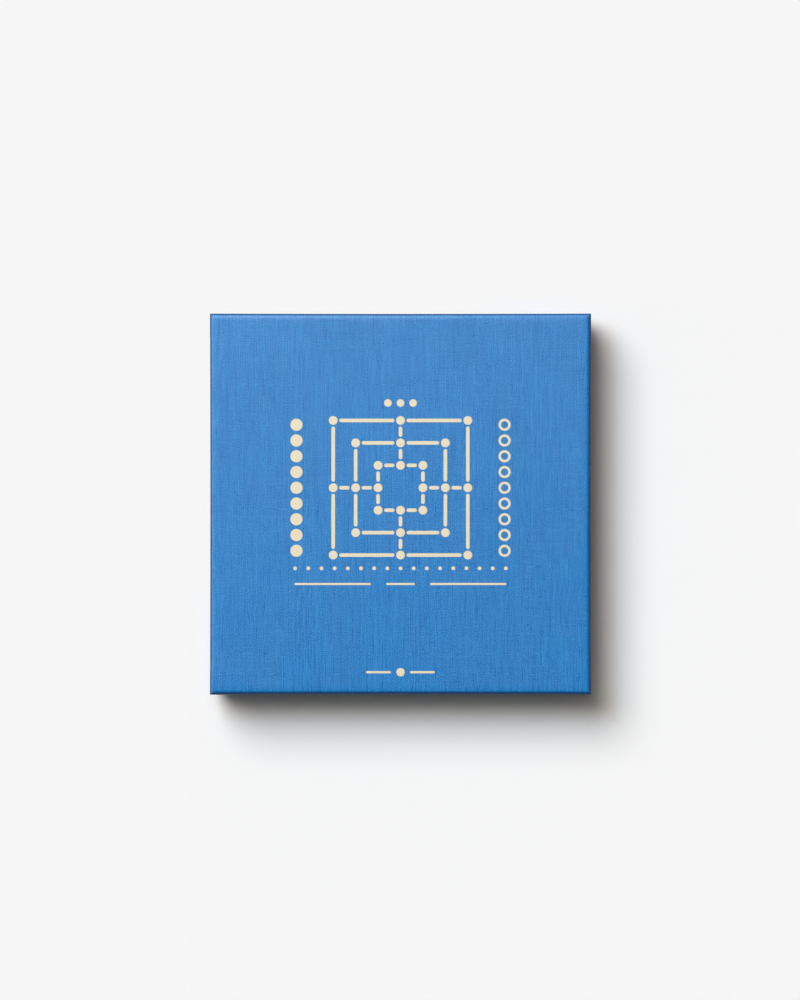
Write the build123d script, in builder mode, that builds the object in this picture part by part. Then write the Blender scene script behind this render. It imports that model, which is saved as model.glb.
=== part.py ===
from build123d import *
import os
from math import atan, degrees

# A nine men's morris set in a telescoping set-up box. The lid and the tray are trays of folded
# greyboard, taped at their corners, lined inside and covered outside with printed paper that turns in
# over the rim. The tray holds a foam insert with a well for every man, the playing board on its pull
# ribbon, and the rule booklet.
# Millimetres. The origin is the middle of the underside, X runs to the right and Z runs up.

# Box
box_side = 200.0  # over the lid's paper
closed_height = 38.0
grip = 8.0  # tray left showing below the lid's rim
greyboard = 2.0
paper = 0.25  # covering paper with its glue
lining = 0.15
fold_radius = 2.35  # outside of the greyboard where a wall folds up from the floor
corner_slit = 0.1  # hairline between two walls where they butt
turn_in = 16.0  # how far the covering paper reaches down inside the walls
flap_end = 1.5  # a turned-in flap stops this far short of the corner at its free edge
stay_leg = 18.0  # corner tape along each wall
stay_tape = 0.12
stay_margin = 3.0  # bare board above and below a corner tape
slip_gap = 0.6  # between the lid's inside and the tray's outside, all round
rest_gap = 0.2  # under a piece that only rests on the one below

# Men and the insert that holds them
man_diameter = 16.0
man_height = 7.0
men_per_side = 9
end_wall = 5.5  # foam between the last well of a row and the insert's edge
row_inset = 46.0  # from the insert's edge to the middle of the row along it
well_clearance = 0.3  # round a man, on the radius
sunk = 1.0  # how far a man stands below the top of the insert
insert_clearance = 0.3  # between the insert and the tray's turned-in paper
trench_width = 14.0  # finger trench beside each row
trench_bite = 3.5  # how far the trench cuts into the wells

# Playing board
playing_clearance = 1.1  # between the board and the tray's turned-in paper
playing_thickness = 10.0
playing_edge = 1.2  # chamfer on every edge
mill_margin = 18.0  # bare wood round the outermost square
groove_width = 1.8
groove_depth = 0.8
point_diameter = 8.0  # flat round recess at each of the 24 points
point_depth = 1.2
felt = 1.0
felt_inset = 2.0  # bare wood round the felt
ribbon_width = 12.0
ribbon = 0.4
ribbon_under = 60.0  # glued length under the board
tab_clearance = 8.0  # between the end of the ribbon's loose tab and the booklet
ribbon_slot_clearance = 0.4

# Rule booklet
booklet_side = 130.0
cover_sheet = 0.3
pages = 1.0
spine_round = 0.7
booklet_play = 1.4  # free height over the booklet
staple_wire = 0.5
staple_crown = 12.0
staple_clinch = 4.0
staple_spacing = 70.0

# Widths that follow from the walls
wall_inside = greyboard + lining + paper
lid_board_side = box_side - 2 * paper
lid_opening = lid_board_side - 2 * wall_inside
tray_board_side = lid_opening - 2 * slip_gap - 2 * paper
tray_opening = tray_board_side - 2 * wall_inside
insert_side = tray_opening - 2 * insert_clearance
playing_side = tray_opening - 2 * playing_clearance

# Heights that follow from the stack inside the closed box
lid_wall = closed_height - grip - 2 * paper
ceiling = closed_height - paper - greyboard - lining
tray_wall = ceiling - rest_gap - 2 * paper
tray_floor = paper + greyboard + lining
booklet_thickness = pages + 2 * cover_sheet
booklet_z = ceiling - booklet_play - booklet_thickness
playing_top = booklet_z - rest_gap
playing_z = playing_top - playing_thickness
deck_top = playing_z - felt - rest_gap
man_z = deck_top - sunk - man_height
deck_z = man_z - rest_gap

tray_plane = Plane.XY.offset(paper)
lid_plane = Plane(origin=(0, 0, closed_height - paper), x_dir=(1, 0, 0), z_dir=(0, 0, -1))


def outward(floor):
    # The direction from a tray's floor to its rim.
    return Axis(floor.origin, floor.z_dir)


def folded_block(floor, side, height, radius):
    # A square block rounded where its walls fold up from the floor, sharp where two walls meet.
    with BuildPart() as block:
        with BuildSketch(floor):
            Rectangle(side, side)
        extrude(amount=height)
        fillet(block.faces().sort_by(outward(floor))[0].edges(), radius)
    return block.part


def greyboard_tray(floor, side, height):
    # One scored blank with its four walls folded up, which butt at the corners.
    inside = side - 2 * greyboard
    with BuildPart() as tray:
        add(folded_block(floor, side, height, fold_radius))
        with BuildSketch(floor.offset(greyboard)):
            Rectangle(inside, inside)
        extrude(amount=height - greyboard, mode=Mode.SUBTRACT)
        with BuildSketch(floor.offset(greyboard)):
            with GridLocations(inside + corner_slit, side - greyboard, 2, 2):
                Rectangle(corner_slit, 2 * greyboard)
        extrude(amount=height - greyboard, mode=Mode.SUBTRACT)
    return tray.part


def corner_stays(floor, side, height):
    # Four tapes that hold the walls together, each bent round a corner.
    with BuildPart() as stays:
        with BuildSketch(floor.offset(stay_margin)):
            Rectangle(side + 2 * stay_tape, side + 2 * stay_tape)
            Rectangle(side, side, mode=Mode.SUBTRACT)
            with GridLocations(side, side, 2, 2):
                Rectangle(2 * stay_leg, 2 * stay_leg, mode=Mode.INTERSECT)
        extrude(amount=height - 2 * stay_margin)
    return stays.part


def lining_tray(floor, side, height):
    # The paper stuck to the inside of the greyboard, from rim to rim.
    inside = side - 2 * greyboard
    with BuildPart() as sheet:
        with BuildSketch(floor.offset(greyboard)):
            Rectangle(inside, inside)
        extrude(amount=height - greyboard)
        with BuildSketch(floor.offset(greyboard + lining)):
            Rectangle(inside - 2 * lining, inside - 2 * lining)
        extrude(amount=height - greyboard - lining, mode=Mode.SUBTRACT)
    return sheet.part


def covering_paper(floor, side, height, stays):
    # One sheet over the outside of a tray, folded over the rim and turned in as four flaps.
    opening = side - 2 * wall_inside
    rim = floor.offset(height)
    flap_edge = floor.offset(height - turn_in)
    flap_cut = turn_in - greyboard
    flap_taper = degrees(atan(0.9 * flap_end / flap_cut))
    with BuildPart() as sheet:
        outside = side + 2 * paper
        add(folded_block(floor.offset(-paper), outside, height + 2 * paper, fold_radius + paper))
        add(folded_block(floor, side, height, fold_radius), mode=Mode.SUBTRACT)
        with BuildSketch(rim):
            Rectangle(opening, opening)
        extrude(amount=paper, mode=Mode.SUBTRACT)
        with BuildSketch(flap_edge):
            Rectangle(opening + 2 * paper, opening + 2 * paper)
            Rectangle(opening, opening, mode=Mode.SUBTRACT)
        extrude(amount=turn_in)
        with BuildSketch(flap_edge):
            with GridLocations(opening + paper, opening + paper, 2, 2):
                Rectangle(2 * flap_end, 2 * flap_end)
        extrude(amount=flap_cut, taper=flap_taper, mode=Mode.SUBTRACT)
        add(stays, mode=Mode.SUBTRACT)
    return sheet.part


def finish(part, name):
    part.label = name
    export_step(part, f"parts/{name}.step")


os.makedirs("parts", exist_ok=True)

# Lid and tray
for box_half, plane, side, height in (
    ("lid", lid_plane, lid_board_side, lid_wall),
    ("tray", tray_plane, tray_board_side, tray_wall),
):
    half_stays = corner_stays(plane, side, height)
    finish(greyboard_tray(plane, side, height), f"{box_half}_board")
    finish(half_stays, f"{box_half}_corner_stays")
    finish(lining_tray(plane, side, height), f"{box_half}_lining")
    finish(covering_paper(plane, side, height, half_stays), f"{box_half}_wrap")

# Foam insert: a plain pad, and a deck cut with two rows of wells and their finger trenches
well_diameter = man_diameter + 2 * well_clearance
trench_length = insert_side - 2 * end_wall
man_pitch = (trench_length - well_diameter) / (men_per_side - 1)
row_offset = insert_side / 2 - row_inset
trench_offset = row_offset - well_diameter / 2 + trench_bite - trench_width / 2

with BuildPart() as insert_pad:
    with BuildSketch(Plane.XY.offset(tray_floor)):
        Rectangle(insert_side, insert_side)
    extrude(amount=deck_z - tray_floor)
finish(insert_pad.part, "insert_pad")

with BuildPart() as insert_deck:
    with BuildSketch(Plane.XY.offset(deck_z)):
        Rectangle(insert_side, insert_side)
        with GridLocations(man_pitch, 2 * row_offset, men_per_side, 2):
            Circle(well_diameter / 2, mode=Mode.SUBTRACT)
        with GridLocations(0, 2 * trench_offset, 1, 2):
            Rectangle(trench_length, trench_width, mode=Mode.SUBTRACT)
    extrude(amount=deck_top - deck_z)
finish(insert_deck.part, "insert_deck")

# Men: turned discs, the light ones in the front row
for colour, row_y in (("light", -row_offset), ("dark", row_offset)):
    for number in range(1, men_per_side + 1):
        man_x = (number - (men_per_side + 1) / 2) * man_pitch
        with BuildPart() as man:
            with BuildSketch(Plane((man_x, row_y, man_z))):
                Circle(man_diameter / 2)
            extrude(amount=man_height)
        finish(man.part, f"{colour}_man_{number}")

# Playing board: three nested squares joined at mid side, with a recess at each of the 24 points
square_step = (playing_side - 2 * mill_margin) / 3
squares = [square_step, 2 * square_step, 3 * square_step]
spoke = (squares[-1] - squares[0]) / 2
playing_surface = Plane.XY.offset(playing_top)

with BuildPart() as playing_board:
    with BuildSketch(Plane.XY.offset(playing_z)):
        Rectangle(playing_side, playing_side)
    extrude(amount=playing_thickness)
    chamfer(playing_board.edges(), playing_edge)
    with BuildSketch(playing_surface):
        for square in reversed(squares):
            Rectangle(square + groove_width, square + groove_width)
            Rectangle(square - groove_width, square - groove_width, mode=Mode.SUBTRACT)
        with PolarLocations((squares[0] + squares[-1]) / 4, 4):
            Rectangle(spoke, groove_width)
    extrude(amount=-groove_depth, mode=Mode.SUBTRACT)
    with BuildSketch(playing_surface):
        for square in squares:
            with PolarLocations(square / 2, 4):
                Circle(point_diameter / 2)
            with GridLocations(square, square, 2, 2):
                Circle(point_diameter / 2)
    extrude(amount=-point_depth, mode=Mode.SUBTRACT)
finish(playing_board.part, "playing_board")

# Felt under the board, with a slot that leaves room for the ribbon
felt_side = playing_side - 2 * felt_inset
slot_width = ribbon_width + 2 * ribbon_slot_clearance
slot_end = -playing_side / 2 + ribbon_under + ribbon_slot_clearance
slot_start = -felt_side / 2 - felt_inset

with BuildPart() as board_felt:
    with BuildSketch(Plane.XY.offset(playing_z - felt)):
        Rectangle(felt_side, felt_side)
        with Locations((0, (slot_start + slot_end) / 2)):
            Rectangle(slot_width, slot_end - slot_start, mode=Mode.SUBTRACT)
    extrude(amount=felt)
finish(board_felt.part, "board_felt")

# Pull ribbon: glued under the board, round its front edge and folded back over the top
ribbon_front = -playing_side / 2 - ribbon / 2
ribbon_low = playing_z - ribbon / 2
ribbon_high = playing_top + ribbon / 2
tab_end = -booklet_side / 2 - tab_clearance

with BuildPart() as pull_ribbon:
    with BuildSketch(Plane.YZ.offset(-ribbon_width / 2)):
        with BuildLine():
            FilletPolyline(
                (-playing_side / 2 + ribbon_under, ribbon_low),
                (ribbon_front, ribbon_low),
                (ribbon_front, ribbon_high),
                (tab_end, ribbon_high),
                radius=playing_edge + ribbon / 2,
            )
        trace(line_width=ribbon)
    extrude(amount=ribbon_width)
finish(pull_ribbon.part, "pull_ribbon")

# Booklet: sheets and cover folded at the left and stapled through the fold
spine_x = -booklet_side / 2
fold_z = booklet_z + booklet_thickness / 2
staple_out = spine_x - staple_wire / 2
staple_in = spine_x + cover_sheet + pages

with BuildPart() as booklet_staples:
    with BuildSketch(Plane.XY.offset(fold_z - staple_wire / 2)):
        with GridLocations(0, staple_spacing, 1, 2):
            with Locations((staple_out, 0)):
                Rectangle(staple_wire, staple_crown)
            with Locations(((staple_out + staple_in) / 2, 0)):
                with GridLocations(0, staple_crown - staple_wire, 1, 2):
                    Rectangle(staple_in - staple_out + staple_wire, staple_wire)
            with Locations((staple_in, 0)):
                with GridLocations(0, staple_crown - staple_clinch, 1, 2):
                    Rectangle(staple_wire, staple_clinch)
    extrude(amount=staple_wire)
finish(booklet_staples.part, "booklet_staples")

page_side = booklet_side - cover_sheet
with BuildPart() as booklet_pages:
    with BuildSketch(Plane.XZ.offset(-booklet_side / 2)):
        with Locations((cover_sheet / 2, fold_z)):
            page_block = Rectangle(page_side, pages)
        fillet(page_block.vertices().group_by(Axis.X)[0], spine_round - cover_sheet)
    extrude(amount=booklet_side)
    add(booklet_staples.part, mode=Mode.SUBTRACT)
finish(booklet_pages.part, "booklet_pages")

with BuildPart() as booklet_cover:
    with BuildSketch(Plane.XZ.offset(-booklet_side / 2)):
        with Locations((0, fold_z)):
            cover_block = Rectangle(booklet_side, booklet_thickness)
        fillet(cover_block.vertices().group_by(Axis.X)[0], spine_round)
    extrude(amount=booklet_side)
    add(booklet_pages.part, mode=Mode.SUBTRACT)
    add(booklet_staples.part, mode=Mode.SUBTRACT)
finish(booklet_cover.part, "booklet_cover")
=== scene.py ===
from math import cos, pi, radians, sin

import bmesh
import bpy
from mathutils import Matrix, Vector


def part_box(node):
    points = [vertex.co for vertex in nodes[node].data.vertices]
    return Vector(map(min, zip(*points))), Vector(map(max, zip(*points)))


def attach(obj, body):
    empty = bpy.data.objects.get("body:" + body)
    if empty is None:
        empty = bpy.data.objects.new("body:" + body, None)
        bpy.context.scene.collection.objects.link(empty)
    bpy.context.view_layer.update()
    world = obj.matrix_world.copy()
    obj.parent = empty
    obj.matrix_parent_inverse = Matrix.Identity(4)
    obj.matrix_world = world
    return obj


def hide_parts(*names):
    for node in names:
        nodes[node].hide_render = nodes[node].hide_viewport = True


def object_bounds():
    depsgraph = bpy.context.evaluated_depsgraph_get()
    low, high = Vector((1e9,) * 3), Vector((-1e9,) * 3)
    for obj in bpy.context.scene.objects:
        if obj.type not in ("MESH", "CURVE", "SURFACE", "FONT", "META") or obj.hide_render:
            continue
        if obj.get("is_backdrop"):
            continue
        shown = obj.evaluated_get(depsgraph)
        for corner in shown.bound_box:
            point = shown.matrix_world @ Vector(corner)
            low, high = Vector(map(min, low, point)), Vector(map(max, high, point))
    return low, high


# A nine men's morris set in a telescoping box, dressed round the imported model. Metres, +Z up.
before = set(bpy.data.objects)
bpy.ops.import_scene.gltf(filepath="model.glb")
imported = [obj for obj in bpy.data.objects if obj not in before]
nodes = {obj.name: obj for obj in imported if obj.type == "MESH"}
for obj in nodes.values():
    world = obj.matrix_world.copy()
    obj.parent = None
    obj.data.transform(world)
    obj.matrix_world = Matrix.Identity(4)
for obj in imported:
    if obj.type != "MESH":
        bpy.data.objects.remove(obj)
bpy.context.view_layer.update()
mm = 0.001
scene = bpy.context.scene
scene.view_settings.view_transform = "Standard"
print("frame loaded:", len(nodes), "nodes")


def toLinear(code):  # sRGB hex to the linear colour that shaders take
    parts = [int(code[i:i + 2], 16) / 255 for i in (1, 3, 5)]
    return tuple(p / 12.92 if p <= 0.04045 else ((p + 0.055) / 1.055) ** 2.4 for p in parts) + (1.0,)


def socketOf(sockets, key):  # by number, or by name among the sockets that the node's options leave in use
    return sockets[key] if isinstance(key, int) else next(s for s in sockets if s.name == key and s.enabled)


def addNode(tree, kind, inputs=(), **options):  # adds a node, sets its options, sets or links its inputs
    node = tree.nodes.new(kind)
    for option, value in options.items():
        setattr(node, option, value)
    for key, value in dict(inputs).items():
        for item in value if isinstance(value, list) else [value]:
            if isinstance(item, bpy.types.Node):
                item = next(s for s in item.outputs if s.enabled)
            if isinstance(item, bpy.types.NodeSocket):
                tree.links.new(item, socketOf(node.inputs, key))
            else:
                socketOf(node.inputs, key).default_value = item
    return node


def objectPlace(tree):  # where a point of the surface is, in metres
    return addNode(tree, "ShaderNodeTexCoord").outputs["Object"]


def maths(tree, operation, *values):
    return addNode(tree, "ShaderNodeMath", dict(enumerate(values)), operation=operation)


def vectorMaths(tree, operation, first, second=None):
    inputs = {0: first} if second is None else {0: first, "Scale" if operation == "SCALE" else 1: second}
    return addNode(tree, "ShaderNodeVectorMath", inputs, operation=operation)


def combined(tree, **parts):  # a vector of X, Y and Z
    return addNode(tree, "ShaderNodeCombineXYZ", parts)


def split(tree, vector):
    return addNode(tree, "ShaderNodeSeparateXYZ", {"Vector": vector}).outputs


def remap(tree, value, low=0.0, high=1.0, toLow=0.0, toHigh=1.0, kind="LINEAR"):  # kept within its ends
    return addNode(tree, "ShaderNodeMapRange", {"Value": value, "From Min": low, "From Max": high,
                                                "To Min": toLow, "To Max": toHigh}, interpolation_type=kind)


def mixColours(tree, share, *colours):  # the first colour where the share is 0 and the second where it is 1
    first, second = (toLinear(c) if isinstance(c, str) else c for c in colours)
    return addNode(tree, "ShaderNodeMix", {"Factor": share, "A": first, "B": second}, data_type="RGBA")


def geo(tree, kind, inputs=(), **options):
    return addNode(tree, "GeometryNode" + kind, inputs, **options)


def newMaterial(name):
    material = bpy.data.materials.new(name)
    material.use_nodes = True
    material.node_tree.nodes.clear()
    return material, material.node_tree


def blotches(tree, place, sizes, detail=2.0):  # noise whose blotches measure these sizes, in metres
    scaled = addNode(tree, "ShaderNodeMapping", {"Vector": place, "Scale": tuple(1 / s for s in sizes)})
    return addNode(tree, "ShaderNodeTexNoise", {"Vector": scaled, "Scale": 1.0, "Detail": detail})


def surface(tree, colour, roughness, relief=None, depth=0.0, fixed=()):
    # the shader at the end of every material; relief runs from 0 to 1 and depth is its height
    inputs = {"Base Color": colour, "Roughness": roughness, **dict(fixed)}
    if relief is not None:
        inputs["Normal"] = addNode(tree, "ShaderNodeBump", {"Height": relief, "Distance": depth})
    shader = addNode(tree, "ShaderNodeBsdfPrincipled", inputs)
    addNode(tree, "ShaderNodeOutputMaterial", {"Surface": shader})


def newPiece(name, mesh, body, replaced=(), materials=()):
    piece = bpy.data.objects.new(name, mesh)
    scene.collection.objects.link(piece)
    for material in materials:
        mesh.materials.append(material)
    if body:
        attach(piece, body)
    if replaced:
        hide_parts(*replaced)
    return piece


def smooth(mesh, sharpAbove=35):
    mesh.shade_smooth()
    mesh.set_sharp_from_angle(angle=radians(sharpAbove))
    return mesh


def newTree(name, sockets):  # a geometry tree with these named inputs
    tree = bpy.data.node_groups.new(name, "GeometryNodeTree")
    tree.interface.new_socket("Geometry", in_out="INPUT", socket_type="NodeSocketGeometry")
    for label, kind in sockets.items():
        tree.interface.new_socket(label, in_out="INPUT", socket_type="NodeSocket" + kind)
    tree.interface.new_socket("Geometry", in_out="OUTPUT", socket_type="NodeSocketGeometry")
    return tree, tree.nodes.new("NodeGroupInput").outputs


def endTree(tree, geometry, material):  # every tree ends in real geometry with its material
    real = geo(tree, "RealizeInstances", {"Geometry": geometry})
    painted = geo(tree, "SetMaterial", {"Geometry": real, "Material": material})
    addNode(tree, "NodeGroupOutput", {"Geometry": painted})


def grow(tree, sizes, seedMesh=None):  # runs a tree with these sizes and gives the result as a plain mesh
    host = newPiece(tree.name + "Host", seedMesh or bpy.data.meshes.new("seed"), None)
    modifier = host.modifiers.new(tree.name, "NODES")
    modifier.node_group = tree
    for item in tree.interface.items_tree:
        if item.item_type == "SOCKET" and item.in_out == "INPUT" and item.name in sizes:
            modifier[item.identifier] = sizes[item.name]
    evaluated = host.evaluated_get(bpy.context.evaluated_depsgraph_get())
    mesh = bpy.data.meshes.new_from_object(evaluated)
    bpy.data.objects.remove(host)
    mesh.materials.clear()
    mesh.materials.append(next(value for value in sizes.values() if isinstance(value, bpy.types.Material)))
    bm = bmesh.new()
    bm.from_mesh(mesh)
    return closed(bm, mesh)


def closed(bm, mesh):  # merges doubles, turns the faces outward and writes the mesh
    bmesh.ops.remove_doubles(bm, verts=bm.verts, dist=0.002 * mm)
    bmesh.ops.recalc_face_normals(bm, faces=bm.faces)
    openEdges = sum(1 for e in bm.edges if not e.is_manifold)
    if openEdges:
        print(mesh.name, "has", openEdges, "open edges")
    bm.to_mesh(mesh)
    bm.free()
    return mesh


def linenPaper():
    # Linen-embossed book paper, printed solid blue and matt laminated: upright slubs, a faint cross
    # thread and a fine grain break up a dull sheen. Threads are drawn 0.5 mm wide so that they show.
    # the darkest blue is painted shade, laid on the steep outer half of the folds
    look = {"light": "#339dde", "dark": "#0056aa", "slub": "#004a92", "paintedFoldShade": "#02306a",
            "thread": 0.5 * mm, "slubLength": 8 * mm, "crossLength": 4 * mm, "grain": 0.42 * mm,
            "clouds": (26 * mm, 34 * mm, 1)}
    thread, endless = look["thread"], 9.0
    material, tree = newMaterial("laminatedLinenPaperBlue")
    place = addNode(tree, "ShaderNodeUVMap", uv_map="sheet")
    # each thread starts its pattern somewhere else, so that the slubs don't line up in rows
    starts = blotches(tree, place, (thread, endless, 1), 0.0)
    shift = vectorMaths(tree, "MULTIPLY", starts.outputs["Color"], (0, 0.3, 0))
    upright = vectorMaths(tree, "ADD", place, shift)
    rows = blotches(tree, place, (endless, thread, 1), 0.0)
    slide = vectorMaths(tree, "MULTIPLY", rows.outputs["Color"], (0.3, 0, 0))
    level = vectorMaths(tree, "ADD", place, slide)
    slubs = blotches(tree, upright, (thread, look["slubLength"], 1), 1.0)
    cross = blotches(tree, level, (look["crossLength"], thread, 1), 1.0)
    grain = blotches(tree, place, (look["grain"], thread, 1), 1.0)
    cloud = blotches(tree, place, look["clouds"], 1.0)
    patch = remap(tree, cloud, 0.35, 0.65)
    # each noise is stretched, and the sum runs from about 0 to 1
    lines = maths(tree, "MULTIPLY_ADD", slubs, 2.8, -1.4)
    weft = maths(tree, "MULTIPLY_ADD", cross, 2.2, -1.1)
    weft = maths(tree, "MULTIPLY", weft, patch)
    fine = maths(tree, "MULTIPLY_ADD", grain, 2.6, -0.8)
    threads = maths(tree, "ADD", lines, weft)
    threads = maths(tree, "ADD", threads, fine)
    ground = mixColours(tree, threads, look["dark"], look["light"])
    knot = remap(tree, slubs, 0.62, 0.74, 0, 0.6)
    knots = maths(tree, "MULTIPLY", knot, patch)
    colour = mixColours(tree, knots, ground, look["slub"])
    sheen = maths(tree, "MULTIPLY_ADD", threads, 0.26, 0.16)
    # a bone folder has polished the paper where it is stretched over an edge, and the steep outer half of
    # each fold is painted darker as shade
    fold = addNode(tree, "ShaderNodeAttribute", attribute_name="burnish").outputs["Fac"]
    polished = remap(tree, fold, 0, 0.2, 0, -0.1)
    sheen = maths(tree, "ADD", sheen, polished)
    pressed = remap(tree, fold, 0, 0.2, 1.0, 0.4)
    relief = maths(tree, "MULTIPLY", threads, pressed)
    paintedFoldShade = remap(tree, fold, 0.5, 0.9, 0, 0.85)
    # painted shade darkens the folds further along the front and the right, the sides that face away from
    # the lamps
    paintedSideShade = addNode(tree, "ShaderNodeAttribute", attribute_name="handled").outputs["Fac"]
    paintedSideShade = remap(tree, paintedSideShade, 0.12, 0.62, 0, 0.82)
    paintedFoldShade = maths(tree, "MAXIMUM", paintedFoldShade, paintedSideShade)
    colour = mixColours(tree, paintedFoldShade, colour, look["paintedFoldShade"])
    surface(tree, colour, sheen, relief, 0.03 * mm, {"Specular IOR Level": 0.37})
    return material


def screenInk(name, code):
    # Screen-printed ink, a film on top of the paper: even and dull, softly mottled where it sinks in.
    material, tree = newMaterial(name)
    place = objectPlace(tree)
    mottle = blotches(tree, place, (0.8 * mm, 0.8 * mm, 0.8 * mm))
    rgb = toLinear(code)
    colour = mixColours(tree, mottle, tuple(c * 0.95 for c in rgb[:3]) + (1,),
                        tuple(min(c * 1.04, 1) for c in rgb[:3]) + (1,))
    surface(tree, colour, 0.55, mottle, 0.01 * mm, {"Specular IOR Level": 0.3})
    return material


def fibreSheet(name, light, dark, fibre, roughness, depth):
    # Uncoated board or paper: pressed fibres leave short soft flecks and a dead matt face.
    material, tree = newMaterial(name)
    place = objectPlace(tree)
    flecks = blotches(tree, place, (fibre * 4, fibre, fibre), 3.0)
    cloud = blotches(tree, place, (18 * mm, 18 * mm, 18 * mm), 2.0)
    mixed = maths(tree, "ADD", flecks, cloud, -0.5)
    part = remap(tree, flecks, 0.32, 0.68)
    colour = mixColours(tree, part, dark, light)
    surface(tree, colour, roughness, mixed, depth, {"Specular IOR Level": 0.2})
    return material


def beech(name, light, dark, fleck, roughness, board=False):
    # Steamed beech, sanded and waxed: straight pale grain with the short brown flecks of its rays. The
    # playing board is glued up from staves, each cut from another part of the tree, and the grooves and
    # points of its mill are painted.
    staveWidth, staveJump = 46.5 * mm, 7.3  # the jump is in stave widths
    millReach, paintEdge, bareBottom = 80 * mm, 0.05 * mm, 1 * mm
    material, tree = newMaterial(name)
    place = objectPlace(tree)
    if board:
        part = split(tree, place)
        size = split(tree, vectorMaths(tree, "ABSOLUTE", place))
        reach = maths(tree, "MAXIMUM", size["X"], size["Y"])
        low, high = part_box("playing_board")
        within = maths(tree, "LESS_THAN", reach, millReach)
        below = maths(tree, "LESS_THAN", part["Z"], high[2] - paintEdge)
        above = maths(tree, "GREATER_THAN", part["Z"], low[2] + bareBottom)
        painted = maths(tree, "MULTIPLY", within, below)
        painted = maths(tree, "MULTIPLY", painted, above)
        number = maths(tree, "SNAP", part["Y"], staveWidth)
        other = combined(tree, X=number, Z=number)
        jump = vectorMaths(tree, "SCALE", other, staveJump)
        place = vectorMaths(tree, "ADD", place, jump)
    grain = blotches(tree, place, (90 * mm, 3.2 * mm, 3.2 * mm), 3.0)
    pores = blotches(tree, place, (9 * mm, 0.35 * mm, 0.35 * mm), 2.0)
    rays = blotches(tree, place, (2.2 * mm, 0.5 * mm, 0.5 * mm), 1.0)
    band = remap(tree, grain, 0.3, 0.7)
    line = remap(tree, pores, 0.45, 0.75, 0, 0.5)
    mark = remap(tree, rays, 0.62, 0.72, 0, 0.55)
    base = mixColours(tree, band, light, dark)
    lined = mixColours(tree, line, base, dark)
    colour = mixColours(tree, mark, lined, fleck)
    if board:
        wave = blotches(tree, place, (1.5 * mm, 1.5 * mm, 1.5 * mm), 1.0)
        enamel = mixColours(tree, wave, "#2465a6", "#3079bf")
        colour = mixColours(tree, painted, colour, enamel)
        roughness = remap(tree, painted, 0, 1, roughness, 0.35)
    surface(tree, colour, roughness, pores, -0.03 * mm, {"Specular IOR Level": 0.4})
    return material


def closedCellFoam():
    # Die-cut EVA foam: thousands of fine closed cells give a dark velvety face with pin-prick pits.
    material, tree = newMaterial("dieCutFoamNavy")
    place = objectPlace(tree)
    cells = addNode(tree, "ShaderNodeTexVoronoi", {"Vector": place, "Scale": 1 / (0.7 * mm)})
    tone = remap(tree, cells.outputs["Distance"], 0, 0.7)
    colour = mixColours(tree, tone, "#31507b", "#1d3354")
    surface(tree, colour, 0.9, cells.outputs["Distance"], 0.12 * mm,
            {"Specular IOR Level": 0.2, "Sheen Weight": 0.15, "Sheen Roughness": 0.6})
    return material


def pressedFelt():
    # Pressed wool felt: tangled fibres with a soft fuzzy bloom at grazing angles.
    material, tree = newMaterial("pressedWoolFeltNavy")
    place = objectPlace(tree)
    tangle = blotches(tree, place, (1.4 * mm, 0.5 * mm, 0.5 * mm), 4.0)
    crossed = blotches(tree, place, (0.5 * mm, 1.6 * mm, 0.5 * mm), 4.0)
    fibres = maths(tree, "MULTIPLY", tangle, crossed)
    part = remap(tree, fibres, 0.12, 0.4)
    colour = mixColours(tree, part, "#152f55", "#2a4f85")
    surface(tree, colour, 0.95, fibres, 0.4 * mm,
            {"Specular IOR Level": 0.1, "Sheen Weight": 0.5, "Sheen Roughness": 0.5})
    return material


def wovenSatin():
    # Woven satin ribbon: long floats across the width shine one way, and a cord runs along each edge.
    material, tree = newMaterial("wovenSatinRibbonCream")
    place = addNode(tree, "ShaderNodeUVMap", uv_map="weave")
    floats = blotches(tree, place, (3 * mm, 0.35 * mm, 1), 2.0)
    fromMiddle = maths(tree, "ABSOLUTE", split(tree, place)["X"])
    edge = remap(tree, fromMiddle, 5.0 * mm, 5.5 * mm)
    tone = remap(tree, floats, 0.3, 0.7)
    body = mixColours(tree, tone, "#d8cdae", "#ebe2c9")
    colour = mixColours(tree, edge, body, "#c6b992")
    ridge = maths(tree, "ADD", floats, edge)
    surface(tree, colour, 0.38, ridge, 0.06 * mm, {"Sheen Weight": 0.3, "Anisotropic": 0.5})
    return material


def drawnSteel():
    # Galvanised steel staple wire, drawn and bent: bright with fine lines along the wire.
    material, tree = newMaterial("drawnSteelWire")
    place = objectPlace(tree)
    lines = blotches(tree, place, (0.08 * mm, 3 * mm, 0.08 * mm), 2.0)
    tone = mixColours(tree, lines, "#a9acb0", "#d6d8da")
    surface(tree, tone, 0.3, lines, 0.01 * mm, {"Metallic": 1.0})
    return material


blueLinen = linenPaper()
creamInk = screenInk("screenInkCream", "#e8dcbc")
blueInk = screenInk("screenInkBlue", "#2d76ba")
greyboard = fibreSheet("recycledGreyboard", "#a39c90", "#7d776d", 0.5 * mm, 0.95, 0.08 * mm)
kraftTape = fibreSheet("gummedKraftTape", "#b98f5e", "#9a7447", 0.35 * mm, 0.7, 0.03 * mm)
liningPaper = fibreSheet("uncoatedLiningPaper", "#ece4d2", "#ded4bd", 0.4 * mm, 0.85, 0.03 * mm)
coverCard = fibreSheet("uncoatedCoverCard", "#efe6d0", "#e3d8bd", 0.4 * mm, 0.8, 0.02 * mm)
pagePaper = fibreSheet("uncoatedPagePaper", "#f3efe4", "#e6e1d3", 0.3 * mm, 0.85, 0.01 * mm)
naturalBeech = beech("waxedBeechNatural", "#e3c193", "#cda06c", "#a8763f", 0.45)
stainedBeech = beech("stainedBeechBlue", "#2f6aa9", "#1f4f86", "#173c68", 0.42)
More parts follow.
